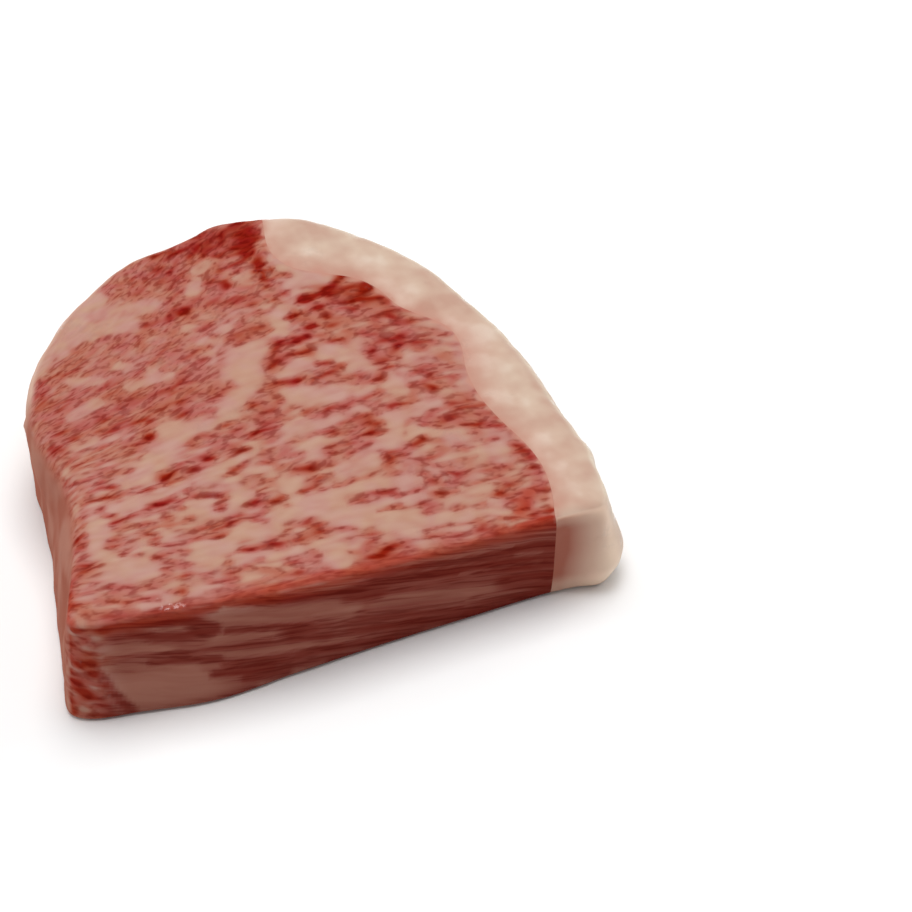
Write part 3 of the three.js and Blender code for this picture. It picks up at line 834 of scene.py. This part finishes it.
# From clean fat to bare muscle, warmer in some places and cooler in others.
warm = ramp(tree, body, [
    (0.00, paint_colour(184, 145, 125)),
    (0.18, paint_colour(180, 136, 116)),
    (0.36, paint_colour(176, 123, 105)),
    (0.50, paint_colour(173, 110, 92)),
    (0.64, paint_colour(170, 100, 82)),
    (0.78, paint_colour(160, 79, 61)),
    (0.90, paint_colour(147, 54, 36)),
    (1.00, paint_colour(134, 30, 14)),
])
cool = ramp(tree, body, [
    (0.00, paint_colour(184, 142, 130)),
    (0.18, paint_colour(180, 132, 121)),
    (0.36, paint_colour(176, 119, 109)),
    (0.50, paint_colour(173, 107, 97)),
    (0.64, paint_colour(170, 96, 88)),
    (0.78, paint_colour(160, 75, 67)),
    (0.90, paint_colour(147, 50, 43)),
    (1.00, paint_colour(134, 25, 22)),
])
blotches = spots(tree, "warm and cool blotches", grain, 0.16, 2.0)
warmth = add(
    tree, "ShaderNodeMapRange", "warmth", Value=blotches, i1=0.38, i2=0.62, i3=0.0, i4=1.0,
).outputs[0]
blotched = blend(tree, "blotched", warmth, cool, warm)

# The fibres that were cut across are darker, and show where there is muscle enough.
muscle = fade(tree, "muscle enough", body, 0.24, 0.6, 0.0, 0.9)
reddening = calculate(tree, "MULTIPLY", stored(tree, "bright_edge"), muscle)
reddened = blend(tree, "bright edge", reddening, blotched, paint_colour(166, 62, 42))
# Painted shade: below its rim the knife cut takes this darker ramp. It holds the cut's own deeper red and
# also shade that the lamps don't give.
shaded_cut = ramp(tree, body, [
    (0.08, paint_colour(167, 111, 95)),
    (0.34, paint_colour(154, 94, 80)),
    (0.58, paint_colour(144, 79, 68)),
    (0.80, paint_colour(131, 60, 50)),
    (1.00, paint_colour(120, 45, 36)),
])
with_cut = blend(tree, "in shade", in_shade, reddened, shaded_cut)
fibres_shown = calculate(tree, "MULTIPLY", dashes, muscle)
fresh = blend(tree, "cut fibres", fibres_shown, with_cut, (0.68, 0.47, 0.45, 1), "MULTIPLY")

# The film over the muscle, thick and whitish in strands and patches, and thin between them.
under_film = ramp(tree, body, [
    (0.20, paint_colour(171, 112, 95)),
    (0.40, paint_colour(162, 100, 83)),
    (0.60, paint_colour(156, 93, 77)),
    (0.80, paint_colour(141, 72, 58)),
])
film_patches = spots(tree, "patches of film", grain, 0.09, 1.5)
thick = calculate(tree, "MULTIPLY", fade(tree, "thick film", film_patches, 0.36, 0.66), film_cover)
veiled = blend(tree, "thick and thin film", thick, under_film, paint_colour(202, 164, 146))
film_streaks = use(
    tree, streaks, Grain=film_grain, Length=22.0, Width=2.0, Wander=0.6, Detail=1.5,
)
strands = fade(tree, "strands of film", film_streaks.outputs["Value"], 0.42, 0.7, 0.0, 0.8)
strands_shown = calculate(
    tree, "MULTIPLY", strands, calculate(tree, "SUBTRACT", film_cover, 0.27, clamp=True),
)
film = blend(tree, "strands of film", strands_shown, veiled, paint_colour(214, 190, 176))
with_film = blend(tree, "film", stored(tree, "skin"), fresh, film)
edge_shown = calculate(tree, "MULTIPLY", stored(tree, "film_edge"), 0.75)
with_edge = blend(tree, "pale edge of film", edge_shown, with_film, paint_colour(208, 176, 158))

# Close to the fat cap the flecks end in the pinkish seam that both pieces share.
feathered = calculate(tree, "MULTIPLY_ADD", bundles, 3.0, -1.5)
seam_distance = calculate(tree, "ADD", stored(tree, "from_fat"), feathered)
seam = fade(tree, "seam", seam_distance, -0.3, 1.1, 0.9, 0.0)
seam_shown = calculate(tree, "MULTIPLY", seam, calculate(tree, "SUBTRACT", 1.0, knife_cut))
with_seam = blend(tree, "seam", seam_shown, with_edge, paint_colour(188, 136, 119))
tree.links.new(with_seam, shader.inputs["Base Color"])

# It is wet where it isn't dull with film, and not in the shade of the knife cut.
sheen = use(tree, wet_sheen, Dryness=0.36, Patch_Size=8.0)
tree.links.new(sheen.outputs["Roughness"], shader.inputs["Roughness"])
fleck_height = calculate(tree, "MULTIPLY", bundles, uneven)
height = calculate(tree, "MULTIPLY_ADD", sheen.outputs["Height"], 0.6, fleck_height)
bump = add(tree, "ShaderNodeBump", "relief", Strength=0.35, Distance=0.35 * mm, Height=height)
tree.links.new(bump.outputs["Normal"], shader.inputs["Normal"])
wet = calculate(tree, "SUBTRACT", 1.0, stored(tree, "dull"))
lit = calculate(tree, "SUBTRACT", wet, in_shade, clamp=True)
tree.links.new(calculate(tree, "MULTIPLY", sheen.outputs["Beads"], lit), shader.inputs["Coat Weight"])
shader.inputs["Coat Roughness"].default_value = 0.12
shader.inputs["Specular IOR Level"].default_value = 0.0
lean.data.materials.append(marbled)
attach(lean, "root")
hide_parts("marbled_lean")

# Fat cap
# The back fat of the loin, one waxy cream-coloured strip left on along the outside, trimmed by
# knife. It is grown to the lean, pinkish where they meet, and rounded over its outer side.
lean_surface = surface_of("marbled_lean")
fat_growth = 0.6
fat = copied_solid("fat_cap", lean_surface, fat_growth)
fat.name = "striploin_fat"
places, facing = corners_of(fat)
x, y, z = (places / mm).T
_, facing_back, facing_up = facing.T
from_lean = distance_to(lean_surface, fat)
front = ease(-y, 44, 49)

# Pinkish along the seam, furthest where the lean is paler too, and paler outwards.
blush_width = 1.4 + 2 * ease(y, -16, -4) * ease(-y, -14, 0)
blush = np.exp(-np.clip(from_lean - 1.2 * soft_noise(x, y, z, 2.2), 0, None) / blush_width)
keep(fat, "blush", blush * (1 - 0.5 * front * ease(from_lean, 0.3, 2)))
keep(fat, "outward", np.maximum(ease(from_lean, 1, 10), 0.8 * front))

# The front end lies in the knife cut, up to the seam's own edge. It is painted a paler cream than the
# upper face as painted light, under painted shade that is darkest by the lean.
on_cut = ease(-facing_back, 0.3, 0.85) * ease(-y, 42, 46)
seam_edge = ease(-from_lean, -0.6, -0.2) * ease(-y, 48.2, 49) * ease(-z, -20, -19.4)
on_cut = np.maximum(on_cut, seam_edge)
keep(fat, "knife_cut", on_cut)
keep(fat, "front_margin", ease(-y, 46, 49.4) * (1 - on_cut) * ease(facing_up, 0.75, 0.95))
# Painted shade on the front end. It fades out towards the outer side and a little near its upper and lower
# edges.
shade = np.clip((50 - x) / 9.2, 0, 1) + 0.1 * ease(z, 7, 13)
shade *= (1 - 0.35 * ease(z, 17, 20)) * (1 - 0.35 * ease(-z, -6, -2))
keep(fat, "in_shade", on_cut * np.clip(shade, 0, 1))
# A painted highlight lies along the rounded outer rim, away from the seam and the front end; wet glints go
# there too.
rim = ease(-facing_up, -0.96, -0.8) * ease(facing_up, 0.1, 0.5) * ease(from_lean, 2, 5)
keep(fat, "highlit_outer_rim", rim * (1 - on_cut) * (1 - front))

# The knife left the strip in soft lumps.
lumps = soft_noise(x, y, z, 7) + 0.35 * soft_noise(x, y, z, 2.6)
raise_surface(fat, places, facing, 0.32 * lumps * ease(from_lean, 0.2, 2) * ease(z, 0.1, 1.2))

cream = bpy.data.materials.new("fat_cap")
cream.use_nodes = True
tree = cream.node_tree
shader = tree.nodes["Principled BSDF"]
place = add(tree, "ShaderNodeTexCoord").outputs["Object"]
clouds = spots(tree, "clouds", place, 105.0, 2.5)
inner = ramp(tree, clouds, [
    (0.34, paint_colour(183, 140, 122)),
    (0.45, paint_colour(190, 151, 133)),
    (0.55, paint_colour(197, 163, 145)),
    (0.66, paint_colour(208, 180, 163)),
])
outer = ramp(tree, clouds, [
    (0.34, paint_colour(189, 154, 136)),
    (0.45, paint_colour(196, 167, 148)),
    (0.55, paint_colour(203, 178, 158)),
    (0.66, paint_colour(214, 196, 179)),
])
waxy = blend(tree, "paler outwards", stored(tree, "outward"), inner, outer)
# The outer rim is painted a lighter cream: a painted highlight.
highlit_outer_rim = stored(tree, "highlit_outer_rim")
rim_highlight_shown = calculate(tree, "MULTIPLY", highlit_outer_rim, 0.45)
with_rim_highlight = blend(tree, "outer rim", rim_highlight_shown, waxy, paint_colour(222, 210, 188))
blush_shown = calculate(tree, "MULTIPLY", stored(tree, "blush"), 0.9)
pinked = blend(tree, "blush", blush_shown, with_rim_highlight, paint_colour(187, 134, 117))
margin = stored(tree, "front_margin")
softened = blend(tree, "front margin", margin, pinked, (0.87, 0.86, 0.85, 1), "MULTIPLY")
# Painted light and shade on the front end: a paler cream than the upper face, then painted shade over it.
lit_end = blend(tree, "knife cut", stored(tree, "knife_cut"), softened, paint_colour(240, 213, 189))
shaded = blend(tree, "in shade", stored(tree, "in_shade"), lit_end, paint_colour(160, 88, 68))
tree.links.new(shaded, shader.inputs["Base Color"])

# Waxy all over, with wet glints along the outer rim.
sheen = use(tree, wet_sheen, Dryness=0.42, Patch_Size=12.0)
tree.links.new(sheen.outputs["Roughness"], shader.inputs["Roughness"])
bump = add(
    tree, "ShaderNodeBump", "relief", Strength=0.3, Distance=0.3 * mm,
    Height=sheen.outputs["Height"],
)
tree.links.new(bump.outputs["Normal"], shader.inputs["Normal"])
glints = fade(tree, "glints", spots(tree, "where glints are", place, 420.0, 1.0), 0.56, 0.66)
wet = calculate(tree, "MULTIPLY_ADD", glints, highlit_outer_rim, sheen.outputs["Beads"], clamp=True)
tree.links.new(wet, shader.inputs["Coat Weight"])
shader.inputs["Coat Roughness"].default_value = 0.12
shader.inputs["Specular IOR Level"].default_value = 0.2
fat.data.materials.append(cream)
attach(fat, "root")
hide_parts("fat_cap")
